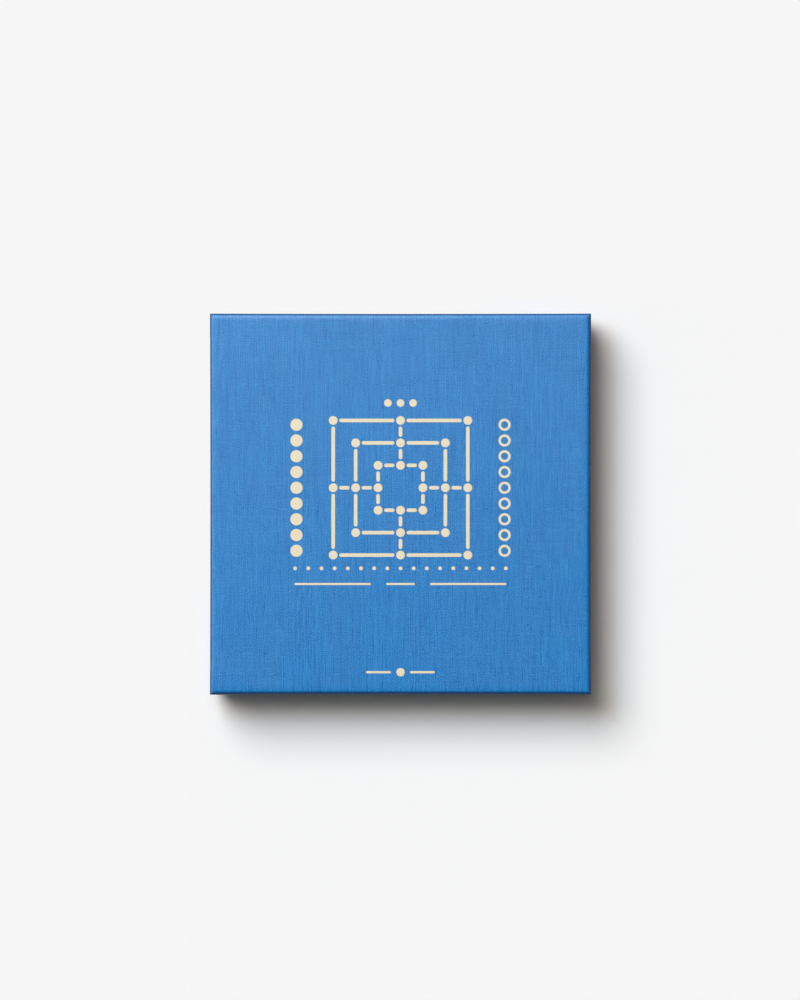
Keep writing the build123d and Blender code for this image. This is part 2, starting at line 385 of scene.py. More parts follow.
boardBeech = beech("oiledBeechBoard", "#dfb98a", "#c99a66", "#a26f3c", 0.5, board=True)
foam = closedCellFoam()
felt = pressedFelt()
satin = wovenSatin()
steel = drawnSteel()
print("materials made")

paperSheet = {
    "thickness": 0.25 * mm,
    "fold": 2.6 * mm,  # outside radius where a wall folds from the floor
    "shoulder": 3 * mm,  # the floor starts to dip this far before the fold
    "dip": radians(5),
    "rimFold": 0.35 * mm,
    "boardAndPapers": 2.65 * mm,  # from the outside of a wall to the face of its turned-in flap
    "turnIn": 16.0 * mm,
    "flapStart": 2 * mm,  # from here on down the flap narrows
    "flapEnd": 1.5 * mm,  # by this much at each end
    "corner": 0.38 * mm,  # radius of an upright corner
    "mitre": 0.15 * mm,  # and where the corner starts in the fold
    "inner": 0.1 * mm,  # and inside the walls
    "bow": 0.17 * mm,  # how far the middle of a wall pulls in
    "tabWidth": 12 * mm,  # glued corner tab under the paper of two walls
    "tabStep": 0.05 * mm,
    "handled": (0.7, 0, 0, 1),  # painted shade on the fold on the right, at the back, on the left and in front
}
shoulderSteps, foldSteps, wallSteps, rimSteps, flapSteps, cornerSteps = 5, 12, 6, 3, 4, 3


def paperProfile(half, wall):
    # rows from the flat floor over the fold, up the wall, over the rim and down inside: distance from the
    # middle, height from the floor, the way the row faces, corner radius, share of the bow, flap gap
    p = paperSheet
    fold, rim, inside = p["fold"], p["rimFold"], half - p["boardAndPapers"]
    flapStart, flapEdge = (wall - p["thickness"] - below for below in (p["flapStart"], p["turnIn"]))
    dip = p["dip"]
    foldStart, drop = half - fold + fold * sin(dip), p["shoulder"] * dip / 3
    rows = []
    for i in range(shoulderSteps):
        part = i / shoulderSteps
        tilt = dip * part ** 2
        rows.append((foldStart - p["shoulder"] * (1 - part), drop * part ** 3, sin(tilt), -cos(tilt),
                     p["inner"], min(i, 1), 0))
    for i in range(foldSteps + 1):
        a = dip + (pi / 2 - dip) * i / foldSteps
        rows.append((half - fold + fold * sin(a), drop + fold * (cos(dip) - cos(a)), sin(a), -cos(a),
                     p["mitre"] + (p["corner"] - p["mitre"]) * i / foldSteps, 1, 0))
    fold = rows[-1][1]
    for i in range(1, wallSteps + 1):
        rows.append((half, fold + (wall - rim - fold) * i / wallSteps, 1, 0, p["corner"], 1, 0))
    for i in range(1, rimSteps + 1):
        a = pi / 2 * i / rimSteps
        rows.append((half - rim + rim * cos(a), wall - rim + rim * sin(a), cos(a), sin(a),
                     p["corner"], 1, 0))
    for i in range(rimSteps + 1):
        a = pi / 2 * i / rimSteps
        rows.append((inside + rim - rim * sin(a), wall - rim + rim * cos(a), -sin(a), cos(a),
                     p["inner"], 0, 0))
    rows.append((inside, flapStart, -1, 0, p["inner"], 0, 0))
    for i in range(1, flapSteps + 1):
        rows.append((inside, flapStart + (flapEdge - flapStart) * i / flapSteps, -1, 0, 0, 0,
                     p["flapEnd"] * i / flapSteps))
    return rows


def coveringPaper(name, half, wall, floorZ, up):
    p = paperSheet
    rows = paperProfile(half, wall)
    # columns along a wall, in halves of it, closer together at the step of the tab and at the corners
    straight = [i / 10 * 0.85 for i in range(-10, 11)]
    nearCorner = [0.87, 0.875, 0.88, 0.885, 0.9, 0.93, 0.97, 1]
    straight = [-f for f in reversed(nearCorner)] + straight + nearCorner
    arcs = [pi / 4 * j / cornerSteps for j in range(1, cornerSteps + 1)]
    sliver = 0.001  # share of a flap's end that the corner's columns take there
    columns = [(-1, a) for a in reversed(arcs)] + [(f, 0) for f in straight] + [(1, a) for a in arcs]
    bm = bmesh.new()
    uv = bm.loops.layers.uv.new("sheet")
    burnish = bm.verts.layers.float.new("burnish")
    handled = bm.verts.layers.float.new("handled")
    for side in range(4):
        def turned(x, y):
            return ((x, y), (-y, x), (-x, -y), (y, -x))[side]
        layers = []
        for layer in (0, 1):
            grid, along = [], rows[0][0]
            for i, (r, w, nr, nw, corner, bow, gap) in enumerate(rows):
                if i:
                    along += ((r - rows[i - 1][0]) ** 2 + (w - rows[i - 1][1]) ** 2) ** 0.5
                reach = r - layer * p["thickness"] * nr
                height = w - layer * p["thickness"] * nw
                line = []
                for f, a in columns:
                    end = 1 if f > 0 else -1
                    if gap:
                        t = (f * (1 - sliver) + (end * sliver * a / arcs[-1] if a else 0)) * (reach - gap)
                        away = reach
                    else:
                        t = f * (reach - corner) + (end * corner * sin(a) if a else 0)
                        away = reach - corner * (1 - cos(a))
                    if bow and not layer:
                        fromCorner = min(max((reach - abs(t) - p["tabWidth"]) / mm, 0), 1)
                        step = p["tabStep"] * fromCorner ** 2 * (3 - 2 * fromCorner) if side % 2 == 0 else 0
                        away -= p["bow"] * (1 - f * f) + step
                    vert = bm.verts.new((*turned(away, t), floorZ + up * height))
                    # how far each point has turned over a fold, for its polish and its painted shade, and
                    # the share of painted shade that this side's fold gets
                    vert[burnish] = nr if 0 < nr < 0.999 else 0.0
                    vert[handled] = vert[burnish] * p["handled"][side]
                    line.append((vert, turned(along, t)))
                grid.append(line)
            layers.append(grid)
            for i in range(len(rows) - 1):
                for j in range(len(columns) - 1):
                    corners = [grid[i][j], grid[i + 1][j], grid[i + 1][j + 1], grid[i][j + 1]]
                    face = bm.faces.new([c[0] for c in corners])
                    for loop, c in zip(face.loops, corners):
                        loop[uv].uv = c[1]
        outer, inner = layers
        strips = [[(a, b) for a, b in zip(outer[-1], inner[-1])]]
        first = next(i for i, row in enumerate(rows) if row[6]) - 1
        for j in (0, -1):
            strips.append([(outer[i][j], inner[i][j]) for i in range(first, len(rows))])
        for strip in strips:
            for (a, b), (c, d) in zip(strip, strip[1:]):
                face = bm.faces.new([a[0], c[0], d[0], b[0]])
                for loop, corner in zip(face.loops, (a, c, d, b)):
                    loop[uv].uv = corner[1]
    bmesh.ops.remove_doubles(bm, verts=bm.verts, dist=0.002 * mm)
    filled = bmesh.ops.edgeloop_fill(bm, edges=[e for e in bm.edges if e.is_boundary])
    for face in filled["faces"]:
        for loop in face.loops:
            loop[uv].uv = loop.vert.co.xy
    return smooth(closed(bm, bpy.data.meshes.new(name)))


papers = {  # half the width, height of the walls, level of the floor's face, the way the walls go from it
    "lid": (100 * mm, 29.97 * mm, 37.97 * mm, -1),
    "tray": (96.75 * mm, 35.4 * mm, 0, 1),
}
for body, sizes in papers.items():
    name = body + "Paper"
    newPiece(name, coveringPaper(name, *sizes), body, [body + "_wrap"], [blueLinen])

for node, material in (
    ("lid_board", greyboard), ("tray_board", greyboard),
    ("lid_corner_stays", kraftTape), ("tray_corner_stays", kraftTape),
    ("lid_lining", liningPaper), ("tray_lining", liningPaper),
    ("playing_board", boardBeech),
):
    for slot in nodes[node].material_slots:
        slot.material = material
print("box covered and lined")

lidPrint = {
    "Outer Square": 70.5 * mm, "Line Width": 1.9 * mm, "Point Diameter": 4.6 * mm, "Gap": 0.9 * mm,
    "Film": 0.03 * mm, "Centre": (0, 8.6 * mm, 37.965 * mm),
}
lidRows = {  # count, then in mm the first mark, step, width, height and stroke of a ring
    "menAgainst": (9, (-54.5, 41.6), (0, -8.25), 6.4, 6.4, 0),
    "menFor": (9, (54.5, 41.6), (0, -8.25), 6.4, 6.4, 1.3),
    "crest": (3, (-6.6, 53.0), (6.6, 0), 4.0, 4.0, 0),
    "pips": (17, (-55.2, -33.6), (6.9, 0), 2.0, 2.0, 0),
    "longDashes": (2, (-35.5, -41.8), (71.0, 0), 40.0, 1.1, 0),
    "shortDash": (1, (0, -41.8), (0, 0), 15.0, 1.1, 0),
    "footDashes": (2, (-11.5, -88.0), (23.0, 0), 13.0, 1.2, 0),
    "footDisc": (1, (0, -88.0), (0, 0), 4.4, 4.4, 0),
}
coverPrint = {
    "Outer Square": 57 * mm, "Line Width": 1.4 * mm, "Point Diameter": 3.8 * mm, "Gap": 0.8 * mm,
    "Film": 0.01 * mm, "Centre": (0, 0, 34.2 * mm),
}


def half(tree, value, more=0.0):
    return maths(tree, "MULTIPLY_ADD", value, 0.5, more)


def isOver(tree, value, limit):
    return addNode(tree, "FunctionNodeCompare", {"A": value, "B": limit}, operation="GREATER_THAN")


def roundBar(tree, width, height):  # the outline of a bar with round ends, or of a disc
    box = geo(tree, "CurvePrimitiveQuadrilateral", {"Width": width, "Height": height})
    radius = half(tree, height, -0.002 * mm)  # a little less, so that the two ends don't meet
    return geo(tree, "FilletCurve", {"Curve": box, "Radius": radius, "Count": 10}, mode="POLY")


def inkFilm(tree, flat, place, film, ink):  # gives flat marks the thickness of a film of ink
    real = geo(tree, "RealizeInstances", {"Geometry": flat})
    moved = geo(tree, "Transform", {"Geometry": real, "Translation": place})
    raised = geo(tree, "ExtrudeMesh", {"Mesh": moved, "Offset": (0, 0, 1),
                                       "Offset Scale": film, "Individual": False})
    both = geo(tree, "JoinGeometry", {"Geometry": [moved, raised.outputs["Mesh"]]})
    endTree(tree, both, ink)


def millTree():
    # three nested squares joined at mid side, drawn as dots at the 24 points and bars between them
    tree, given = newTree("printedMill", {"Outer Square": "Float", "Line Width": "Float",
                                          "Point Diameter": "Float", "Gap": "Float", "Film": "Float",
                                          "Centre": "Vector", "Ink": "Material"})
    outer, line = given["Outer Square"], given["Line Width"]
    radius = half(tree, given["Point Diameter"])
    dot = geo(tree, "MeshCircle", {"Vertices": 40, "Radius": radius}, fill_type="NGON")
    clear = maths(tree, "MULTIPLY_ADD", given["Gap"], 2, given["Point Diameter"])
    where = geo(tree, "InputPosition")
    fromMiddle = vectorMaths(tree, "LENGTH", where).outputs["Value"]
    size = split(tree, vectorMaths(tree, "ABSOLUTE", where))
    besideX = maths(tree, "GREATER_THAN", size["X"], size["Y"])
    marks = []
    for square in (1, 2, 3):
        side = maths(tree, "MULTIPLY", outer, square / 3)
        grid = geo(tree, "MeshGrid", {"Size X": side, "Size Y": side, "Vertices X": 3, "Vertices Y": 3})
        middle = maths(tree, "MULTIPLY", side, 0.3)
        chosen = isOver(tree, fromMiddle, middle)
        marks.append(geo(tree, "InstanceOnPoints", {"Points": grid, "Selection": chosen, "Instance": dot}))
        between = geo(tree, "MeshToPoints", {"Mesh": grid, "Selection": chosen}, mode="EDGES")
        length = maths(tree, "SUBTRACT", half(tree, side), clear)
        bar = geo(tree, "FillCurve", {"Curve": roundBar(tree, length, line)})
        turn = maths(tree, "MULTIPLY", besideX, pi / 2)
        turn = combined(tree, Z=turn)
        marks.append(geo(tree, "InstanceOnPoints", {"Points": between, "Instance": bar, "Rotation": turn}))
    for share in (1 / 4, 5 / 12):
        middle = maths(tree, "MULTIPLY", outer, share)
        cross = geo(tree, "MeshCircle", {"Vertices": 4, "Radius": middle})
        length = maths(tree, "MULTIPLY", outer, 1 / 6)
        length = maths(tree, "SUBTRACT", length, clear)
        bar = geo(tree, "FillCurve", {"Curve": roundBar(tree, length, line)})
        turn = maths(tree, "MULTIPLY_ADD", besideX, -pi / 2, pi / 2)
        turn = combined(tree, Z=turn)
        marks.append(geo(tree, "InstanceOnPoints", {"Points": cross, "Instance": bar, "Rotation": turn}))
    flat = geo(tree, "JoinGeometry", {"Geometry": marks})
    inkFilm(tree, flat, given["Centre"], given["Film"], given["Ink"])
    return tree


def rowTree():  # a row of discs, rings or bars with round ends
    tree, given = newTree("printedRow", {"Count": "Int", "Start": "Vector", "Step": "Vector",
                                         "Width": "Float", "Height": "Float", "Stroke": "Float",
                                         "Film": "Float", "Ink": "Material"})
    line = geo(tree, "MeshLine", {"Count": given["Count"], "Offset": given["Step"]})
    outside = roundBar(tree, given["Width"], given["Height"])
    lessWide = maths(tree, "MULTIPLY_ADD", given["Stroke"], -2, given["Width"])
    lessHigh = maths(tree, "MULTIPLY_ADD", given["Stroke"], -2, given["Height"])
    hole = roundBar(tree, lessWide, lessHigh)
    ring = geo(tree, "JoinGeometry", {"Geometry": [outside, hole]})
    hollow = isOver(tree, given["Stroke"], 0.0)
    outline = geo(tree, "Switch", {"Switch": hollow, "False": outside, "True": ring}, input_type="GEOMETRY")
    mark = geo(tree, "FillCurve", {"Curve": outline})
    row = geo(tree, "InstanceOnPoints", {"Points": line, "Instance": mark})
    inkFilm(tree, row, given["Start"], given["Film"], given["Ink"])
    return tree


def joined(name, meshes):
    bm = bmesh.new()
    for mesh in meshes:
        bm.from_mesh(mesh)
    whole = bpy.data.meshes.new(name)
    whole.materials.append(meshes[0].materials[0])
    return closed(bm, whole)


mill, row = millTree(), rowTree()
top = lidPrint["Centre"][2]
lidMarks = [grow(mill, {**lidPrint, "Ink": creamInk})]
for count, (x, y), (stepX, stepY), width, high, stroke in lidRows.values():
    lidMarks.append(grow(row, {
        "Count": count, "Start": (x * mm, y * mm, top), "Step": (stepX * mm, stepY * mm, 0.0),
        "Width": width * mm, "Height": high * mm, "Stroke": stroke * mm, "Film": lidPrint["Film"],
        "Ink": creamInk}))
newPiece("lidPrint", joined("lidPrint", lidMarks), "lid")
newPiece("bookletPrint", grow(mill, {**coverPrint, "Ink": blueInk}), "booklet")
print("lid and booklet printed")

insert = {"Side": 187.6 * mm, "Bottom": 13.0 * mm, "Top": 21.2 * mm, "Well Diameter": 16.6 * mm,
          "Pitch": 20.0 * mm, "Row": 47.8 * mm, "Wells": 9, "Trench Length": 176.6 * mm,
          "Trench Width": 14.0 * mm, "Trench Row": 36.0 * mm}
padBottom = 2.4 * mm  # a plain pad lies under the deck, on the floor of the tray
cutEdge = 0.5 * mm  # how far the die rounds the foam's edges


def deckTree():  # a foam deck with two rows of wells and a finger trench beside each
    sockets = {label: "Float" for label in insert}
    tree, given = newTree("wellDeck", {**sockets, "Wells": "Int", "Foam": "Material"})
    tall = maths(tree, "SUBTRACT", given["Top"], given["Bottom"])
    size = combined(tree, X=given["Side"], Y=given["Side"], Z=tall)
    block = geo(tree, "MeshCube", {"Size": size})
    radius, cutDepth = half(tree, given["Well Diameter"]), 0.1  # cutters that reach through the deck
    well = geo(tree, "MeshCylinder", {"Vertices": 72, "Radius": radius, "Depth": cutDepth})
    cutter = combined(tree, X=given["Trench Length"], Y=given["Trench Width"], Z=cutDepth)
    trench = geo(tree, "MeshCube", {"Size": cutter})
    span = maths(tree, "MULTIPLY_ADD", given["Wells"], -0.5, 0.5)
    first = maths(tree, "MULTIPLY", span, given["Pitch"])
    cuts = []
    for side in (-1, 1):
        rowY = maths(tree, "MULTIPLY", given["Row"], side)
        trenchY = maths(tree, "MULTIPLY", given["Trench Row"], side)
        line = geo(tree, "MeshLine", {
            "Count": given["Wells"], "Start Location": combined(tree, X=first, Y=rowY),
            "Offset": combined(tree, X=given["Pitch"])})
        wells = geo(tree, "InstanceOnPoints", {"Points": line, "Instance": well.outputs["Mesh"]})
        cuts.append(geo(tree, "RealizeInstances", {"Geometry": wells}))
        cuts.append(geo(tree, "Transform", {
            "Geometry": trench.outputs["Mesh"], "Translation": combined(tree, Y=trenchY)}))
    cut = geo(tree, "MeshBoolean", {"Mesh 1": block.outputs["Mesh"], "Mesh 2": cuts},
              operation="DIFFERENCE", solver="EXACT")
    level = maths(tree, "ADD", half(tree, tall), given["Bottom"])
    placed = geo(tree, "Transform", {
        "Geometry": cut.outputs["Mesh"], "Translation": combined(tree, Z=level)})
    endTree(tree, placed, given["Foam"])
    return tree


def eased(piece, width, segments=2, above=40):  # rounds a piece's sharp edges
    bevel = piece.modifiers.new("easedEdges", "BEVEL")
    bevel.width, bevel.segments = width, segments
    bevel.limit_method, bevel.angle_limit = "ANGLE", radians(above)
    bevel.use_clamp_overlap = bevel.harden_normals = False
    return piece


def plate(name, outline, bottom, top):  # a flat piece with this outline
    bm = bmesh.new()
    low = [bm.verts.new((x, y, bottom)) for x, y in outline]
    high = [bm.verts.new((x, y, top)) for x, y in outline]
    bm.faces.new(low)
    bm.faces.new(high)
    for i in range(len(outline)):
        j = (i + 1) % len(outline)
        bm.faces.new((low[i], low[j], high[j], high[i]))
    return closed(bm, bpy.data.meshes.new(name))


mesh = smooth(grow(deckTree(), {**insert, "Foam": foam}))
deck = eased(newPiece("insertDeck", mesh, "tray", ["insert_deck"]), cutEdge)
edge = insert["Side"] / 2
square = [(-edge, -edge), (edge, -edge), (edge, edge), (-edge, edge)]
mesh = plate("insertPad", square, padBottom, insert["Bottom"])
pad = eased(newPiece("insertPad", mesh, "tray", ["insert_pad"], [foam]), cutEdge)
print("insert cut")

man = {"Diameter": 16.0 * mm, "Height": 7.0 * mm, "Relief": 0.9 * mm}
# depth of the turned face from middle to edge, in shares of the radius and of the relief
turning = [(0, 0.5), (0.36, 0.5), (0.44, 0.36), (0.5, 0), (0.66, 0), (0.7, 0.34), (0.74, 0), (0.89, 0),
           (0.93, 0.07), (0.965, 0.24), (0.985, 0.46), (1, 1)]


def manTree():  # a disc with a dished middle, a ring cut round it and an eased edge, alike on both faces
    tree, given = newTree("turnedMan", {"Diameter": "Float", "Height": "Float", "Relief": "Float",
                                        "Centre": "Vector", "Wood": "Material"})
    radius = half(tree, given["Diameter"])
    blank = geo(tree, "MeshCylinder", {
        "Vertices": 64, "Side Segments": 5, "Fill Segments": 30, "Radius": radius,
        "Depth": given["Height"]}, fill_type="TRIANGLE_FAN")
    where = geo(tree, "InputPosition")
    level = split(tree, where)["Z"]
    flat = vectorMaths(tree, "MULTIPLY", where, (1, 1, 0))
    out = vectorMaths(tree, "LENGTH", flat).outputs["Value"]
    share = maths(tree, "DIVIDE", out, radius)
    turned = addNode(tree, "ShaderNodeFloatCurve", {"Value": share})
    points = turned.mapping.curves[0].points
    while len(points) < len(turning):
        points.new(0.5, 0.5)
    for point, place in zip(points, turning):
        point.location = place
        point.handle_type = "VECTOR"
    turned.mapping.update()
    size, face = maths(tree, "ABSOLUTE", level), half(tree, given["Height"], -0.01 * mm)
    onFace = isOver(tree, size, face)
    inward = maths(tree, "SIGN", level)
    depth = maths(tree, "MULTIPLY", turned, given["Relief"])
    depth = maths(tree, "MULTIPLY", depth, inward)
    drop = maths(tree, "MULTIPLY", depth, -1.0)
    shaped = geo(tree, "SetPosition", {
        "Geometry": blank.outputs["Mesh"], "Selection": onFace, "Offset": combined(tree, Z=drop)})
    placed = geo(tree, "Transform", {"Geometry": shaped, "Translation": given["Centre"]})
    endTree(tree, placed, given["Wood"])
    return tree


turner = manTree()
for colour, wood in (("light", naturalBeech), ("dark", stainedBeech)):
    for number in range(1, 10):
        node = f"{colour}_man_{number}"
        low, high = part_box(node)
        middle = tuple((a + b) / 2 for a, b in zip(low, high))
        mesh = smooth(grow(turner, {**man, "Centre": middle, "Wood": wood}), 50)
        newPiece(f"{colour}Man{number}", mesh, node, [node])
print("men turned")

feltSheet = {"side": 182 * mm, "slotWidth": 12.8 * mm, "slotEnd": -32.6 * mm, "bottom": 21.4 * mm,
             "top": 22.4 * mm}
edge, slot = feltSheet["side"] / 2, feltSheet["slotWidth"] / 2
outline = [(-edge, -edge), (-slot, -edge), (-slot, feltSheet["slotEnd"]), (slot, feltSheet["slotEnd"]),
           (slot, -edge), (edge, -edge), (edge, edge), (-edge, edge)]
mesh = plate("boardFelt", outline, feltSheet["bottom"], feltSheet["top"])
boardFelt = eased(newPiece("boardFelt", mesh, "board", ["board_felt"], [felt]), 0.3 * mm)

ribbonCut = {
    "width": 12 * mm, "thickness": 0.34 * mm, "bend": 1.4 * mm,
    "notch": 4 * mm, "curl": 0.9 * mm, "curlFrom": 0.3,  # the share of the tab that lies flat
    "cord": 0.15, "cordFrom": 0.85,  # the edges are this much thicker
    "route": [(-33, 22.2), (-93.2, 22.2), (-93.2, 32.6), (-73, 32.6)],  # Y and Z of its corners in mm
}
runSteps, bendSteps, riseSteps, tabSteps = 12, 6, 4, 16


def shellQuads(top, under):  # the quads of two grids, and of the strips that join their edges
    rows, columns = range(len(top) - 1), range(len(top[0]) - 1)
    quads = [(grid[i][j], grid[i + 1][j], grid[i + 1][j + 1], grid[i][j + 1])
             for grid in (top, under) for i in rows for j in columns]
    for i in (0, -1):
        quads += [(top[i][j], top[i][j + 1], under[i][j + 1], under[i][j]) for j in columns]
    for j in (0, -1):
        quads += [(top[i][j], top[i + 1][j], under[i + 1][j], under[i][j]) for i in rows]
    return quads


def pullRibbon():  # glued under the board, round its front edge, with a fishtail tab that curls up a little
    r = ribbonCut
    route = [Vector((y * mm, z * mm)) for y, z in r["route"]]
    line = []
    for i in range(1, len(route) - 1):
        here = route[i]
        back, on = ((route[j] - here).normalized() for j in (i - 1, i + 1))
        start, end, centre = here + back * r["bend"], here + on * r["bend"], here + (back + on) * r["bend"]
        if not line:
            line += [route[0].lerp(start, k / runSteps) for k in range(runSteps)]
        line += [centre - on * r["bend"] * cos(a) - back * r["bend"] * sin(a)
                 for a in (pi / 2 * k / bendSteps for k in range(bendSteps + 1))]
        if i == 1:
            line += [end.lerp(route[2] - on * r["bend"], k / riseSteps) for k in range(1, riseSteps)]
    tabStart = line[-1]
    line += [tabStart.lerp(route[-1], k / tabSteps) for k in range(1, tabSteps + 1)]
    run = [0.0]
    for a, b in zip(line, line[1:]):
        run.append(run[-1] + (b - a).length)
    tabRun = run[-1 - tabSteps]
    tab = run[-1] - tabRun
    across = [i / 5 for i in range(-5, 6)]
    bm = bmesh.new()
    uv = bm.loops.layers.uv.new("weave")
    layers = []
    for layer in (1, -1):
        grid = []
        for i, (place, s) in enumerate(zip(line, run)):
            ahead = line[min(i + 1, len(line) - 1)] - line[max(i - 1, 0)]
            out = Vector((ahead.y, -ahead.x)).normalized()
            onTab = max(s - tabRun, 0) / tab
            cells = []
            for f in across:
                short = r["notch"] * (1 - abs(f)) * onTab ** 2
                lift = r["curl"] * max(onTab - r["curlFrom"], 0) ** 2 / (1 - r["curlFrom"]) ** 2
                thick = r["thickness"] / 2 * (1.0 + r["cord"] * (abs(f) > r["cordFrom"]))
                y, z = place.x - short + out.x * thick * layer, place.y + lift + out.y * thick * layer
                cells.append((bm.verts.new((f * r["width"] / 2, y, z)), (f * r["width"] / 2, s)))
            grid.append(cells)
        layers.append(grid)
    for quad in shellQuads(*layers):
        face = bm.faces.new([c[0] for c in quad])
        for loop, c in zip(face.loops, quad):
            loop[uv].uv = c[1]
    return smooth(closed(bm, bpy.data.meshes.new("pullRibbon")), 50), run[-1]


mesh, length = pullRibbon()
ribbon = newPiece("pullRibbon", mesh, "board", ["pull_ribbon"], [satin])
print("felt and ribbon made")

booklet = {
    "side": 130 * mm, "bottom": 32.6 * mm, "top": 34.2 * mm,
    "cover": 0.3 * mm,  # thickness of the card
    "spine": 0.7 * mm,  # outside radius of its folds
    "lift": 0.7 * mm,  # how far the open edge of the front leaf stands off
    "liftFrom": 0.52,  # the leaf lies flat up to here, in halves of its width
    "lessBehind": 0.4,
}
reachSteps, spineSteps, acrossSteps = 14, 6, 12
leaves = {"Count": 9, "Pitch": 0.111 * mm, "Thickness": 0.095 * mm, "Wide": 129.3 * mm, "Deep": 129.7 * mm,
          "Scatter": 0.12 * mm, "First": (0.25 * mm, 0, 32.96 * mm), "Seed": 4}


def foldedCover():  # one card folded round the spine, its front leaf lifting a little at the open edge
    b = booklet
    edge, r = b["side"] / 2, b["spine"]
    reach = [edge * (1 - i / reachSteps * 1.9) for i in range(reachSteps)]
    rows = [(x, b["bottom"], 0, -1, 0) for x in reach] + [(-edge + r, b["bottom"], 0, -1, 0)]
    for i in range(1, spineSteps + 1):
        a = pi / 2 * i / spineSteps
        rows.append((-edge + r - r * sin(a), b["bottom"] + r - r * cos(a), -sin(a), -cos(a), 0))
    for i in range(1, spineSteps + 1):
        a = pi / 2 * i / spineSteps
        rows.append((-edge + r - r * cos(a), b["top"] - r + r * sin(a), -cos(a), sin(a), 0))
    rows += [(x, b["top"], 0, 1, 1) for x in reversed(reach)]
    across = [-edge + b["side"] * i / acrossSteps for i in range(acrossSteps + 1)]
    bm = bmesh.new()
    layers = []
    for layer in (0, 1):
        grid = []
        for x, z, nx, nz, front in rows:
            x, z = x - layer * b["cover"] * nx, z - layer * b["cover"] * nz
            lifts = front * b["lift"] * max((x / edge - b["liftFrom"]) / (1 - b["liftFrom"]), 0) ** 2
            shares = [1 - b["lessBehind"] * y / edge for y in across]
            grid.append([bm.verts.new((x, y, z + lifts * share)) for y, share in zip(across, shares)])
        layers.append(grid)
    for quad in shellQuads(*layers):
        bm.faces.new(quad)
    return smooth(closed(bm, bpy.data.meshes.new("bookletCover")), 50)


def leafTree():  # a stack of trimmed leaves, none quite in line with the next
    tree, given = newTree("leafStack", {"Count": "Int", "Pitch": "Float", "Thickness": "Float",
                                        "Wide": "Float", "Deep": "Float", "Scatter": "Float",
                                        "First": "Vector", "Seed": "Int", "Paper": "Material"})
    rise = combined(tree, Z=given["Pitch"])
    stack = geo(tree, "MeshLine", {
        "Count": given["Count"], "Start Location": given["First"], "Offset": rise})
    size = combined(tree, X=given["Wide"], Y=given["Deep"], Z=given["Thickness"])
    leaf = geo(tree, "MeshCube", {"Size": size})
    piled = geo(tree, "InstanceOnPoints", {"Points": stack, "Instance": leaf.outputs["Mesh"]})
    astray = addNode(tree, "FunctionNodeRandomValue", {"Min": (-1, -0.3, 0), "Max": (0.2, 0.3, 0),
                                                       "Seed": given["Seed"]}, data_type="FLOAT_VECTOR")
    moved = vectorMaths(tree, "SCALE", astray, given["Scatter"])
    loose = geo(tree, "TranslateInstances", {"Instances": piled, "Translation": moved})
    endTree(tree, loose, given["Paper"])
    return tree


staple = {"Wire": 0.5 * mm, "Bend": 0.4 * mm}
# X and Y of the wire's corners in mm, from the middle of a staple
stapleRoute = [(-63.7, 2), (-63.7, 5.75), (-65.25, 5.75), (-65.25, -5.75), (-63.7, -5.75), (-63.7, -2)]


def wireTree():  # round wire along bent paths
    tree, given = newTree("bentWire", {"Wire": "Float", "Bend": "Float", "Steel": "Material"})
    paths = geo(tree, "MeshToCurve", {"Mesh": given["Geometry"]})
    bent = geo(tree, "FilletCurve", {"Curve": paths, "Radius": given["Bend"], "Count": 5}, mode="POLY")
    radius = half(tree, given["Wire"])
    section = geo(tree, "CurvePrimitiveCircle", {"Resolution": 12, "Radius": radius})
    wire = geo(tree, "CurveToMesh", {"Curve": bent, "Profile Curve": section, "Fill Caps": True})
    endTree(tree, wire, given["Steel"])
    return tree


newPiece("bookletCover", foldedCover(), "booklet", ["booklet_cover"], [coverCard])
newPiece("bookletLeaves", grow(leafTree(), {**leaves, "Paper": pagePaper}), "booklet", ["booklet_pages"])
paths = bpy.data.meshes.new("staplePaths")
foldZ = (booklet["bottom"] + booklet["top"]) / 2
points = [(x * mm, (y + shift) * mm, foldZ) for shift in (-35, 35) for x, y in stapleRoute]
count = len(stapleRoute)
paths.from_pydata(points, [(i, i + 1) for i in range(2 * count - 1) if i != count - 1], [])
mesh = smooth(grow(wireTree(), {**staple, "Steel": steel}, paths), 60)
newPiece("bookletStaples", mesh, "booklet", ["booklet_staples"])
print("booklet bound")

studio = {
    "target": Vector((0, 0, 38 * mm)),
    "fill": 0.108,  # share of the light that comes from all round
    "backdrop": 0.9216,  # linear value of the pale floor and background
    "lampward": (-0.7, 0.7, 0),  # the side that the lamps stand on
    "flags": 0.0,  # how much of the backdrop gloss shows on the other side
    "flagEdge": (-0.45, 0.1),  # it changes between these, -1 being away from the lamps and 1 towards them
    "ceiling": (0.7, 0.35),  # steepness of a direction where the ceiling gives way to the backdrop
    "bounce": (0.84, 0.78, 0.68, 1),  # tint of the floor beside the walls, against the blue light from them
    # distances from the middle over which the floor gets that tint, and over which it turns plain,
    # towards the shaded side, towards the lamps and all round
    "bounceShadeSide": (121 * mm, 105 * mm),
    "bounceLampSide": (104 * mm, 84 * mm),
    "plainShadeSide": (85 * mm, 35 * mm),
    "plainLampSide": (98 * mm, 114 * mm),
    "plainFar": (0.5, 0.9),
    "floorHalf": 6,  # half its width in metres
    "floorLevel": -0.05 * mm,
}
softboxes = {  # the way to each lamp, distance, radius, share of the light on the target
    "keySoftbox": ((-0.473, 0.557, 1.0), 3.135, 1.085, 0.754),
    "topSoftbox": ((-0.055, 0.150, 1.0), 1.775, 0.31, 0.138),
    "backCard": ((-0.15, 1.50, 1.0), 1.8, 0.62, 0.26),  # seen only in the gloss of the back fold
    "leftCard": ((-1.75, 0.15, 1.0), 1.8, 0.50, 0.14),  # and of the left one
}
lamps = []
